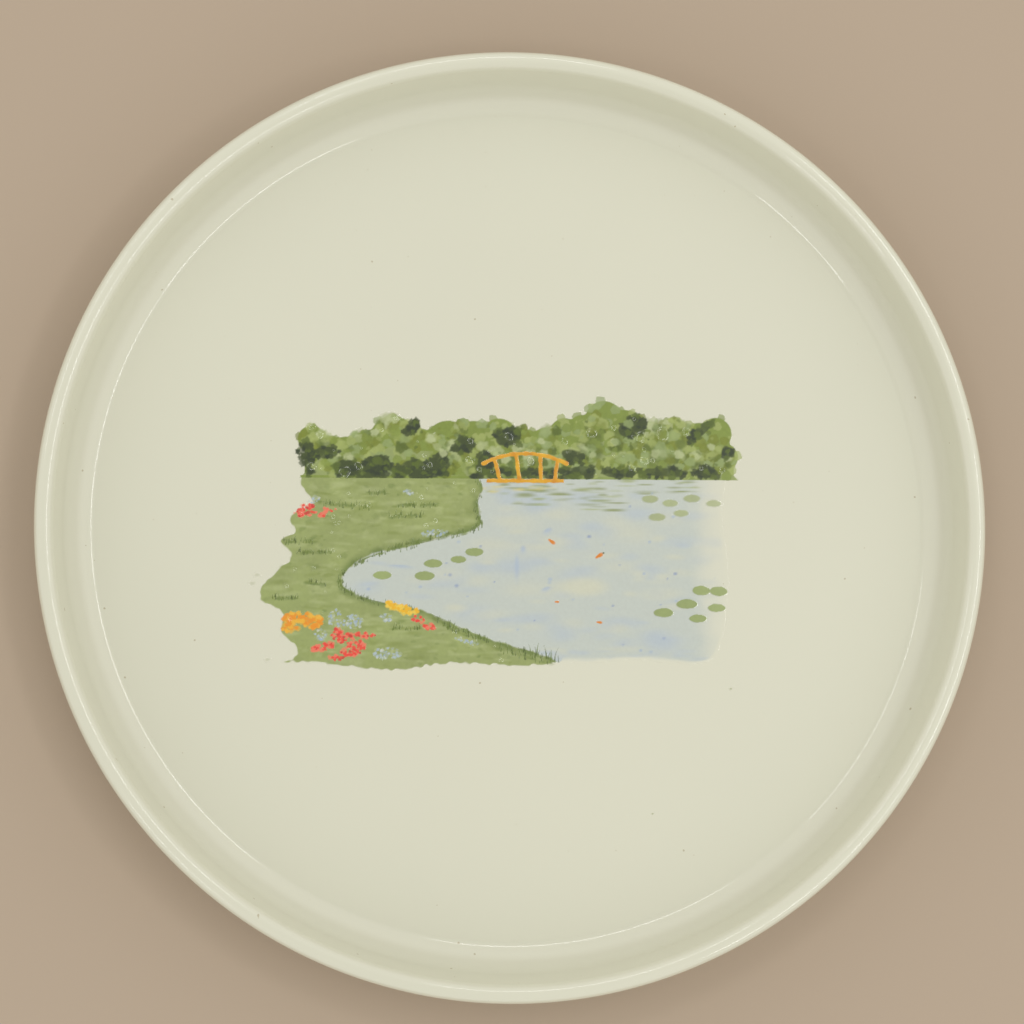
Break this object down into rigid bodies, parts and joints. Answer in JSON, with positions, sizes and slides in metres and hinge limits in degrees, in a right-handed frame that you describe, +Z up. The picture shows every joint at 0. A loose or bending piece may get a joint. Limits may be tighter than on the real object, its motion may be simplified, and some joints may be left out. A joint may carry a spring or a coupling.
{
  "type": "souvenir plate",
  "caption": "Round glazed ceramic plate with a flat well, an upright rounded rim, a foot ring and a raised enamel picture of a pond garden.",
  "frame": {"origin": "centre of the foot ring's contact plane, at the bottom of the plate", "axes": "+Z up along the plate's axis, out of the well; +Y towards the top of the picture; +X to the picture's right"},
  "size_m": [0.21, 0.21, 0.0205],
  "materials": {
    "bisque": "unglazed fired stoneware, fine matt grain",
    "cream_glaze": "smooth glossy ivory glaze",
    "leaf_enamel": "glossy raised on-glaze enamel, mixed leaf greens",
    "dark_leaf_enamel": "glossy on-glaze enamel, deep green",
    "meadow_enamel": "glossy on-glaze enamel, sage green wash",
    "pond_enamel": "glossy on-glaze enamel, pale blue-grey wash",
    "bridge_enamel": "glossy raised on-glaze enamel, ochre yellow",
    "water_mark_enamel": "glossy on-glaze enamel, grey-green strokes",
    "pad_enamel": "glossy raised on-glaze enamel, pad green",
    "fish_enamel": "glossy raised on-glaze enamel, orange",
    "grass_enamel": "glossy on-glaze enamel, dark grass green",
    "pale_flower_enamel": "glossy raised on-glaze enamel, pale blue",
    "orange_flower_enamel": "glossy raised on-glaze enamel, orange",
    "yellow_flower_enamel": "glossy raised on-glaze enamel, yellow",
    "red_flower_enamel": "glossy raised on-glaze enamel, coral red",
    "speck_enamel": "stray spots of on-glaze enamel, pale olive"
  },
  "bodies": {
    "root": {"plate_body": "bisque", "face_glaze": "cream_glaze", "underside_glaze": "cream_glaze", "treeline_enamel": "leaf_enamel", "dark_foliage_enamel": "dark_leaf_enamel", "meadow_enamel": "meadow_enamel", "pond_enamel": "pond_enamel", "bridge_enamel": "bridge_enamel", "water_mark_enamel": "water_mark_enamel", "lily_pad_enamel": "pad_enamel", "goldfish_enamel": "fish_enamel", "grass_enamel": "grass_enamel", "pale_flower_enamel": "pale_flower_enamel", "orange_flower_enamel": "orange_flower_enamel", "yellow_flower_enamel": "yellow_flower_enamel", "red_flower_enamel": "red_flower_enamel", "speck_enamel": "speck_enamel"}
  },
  "joints": []
}
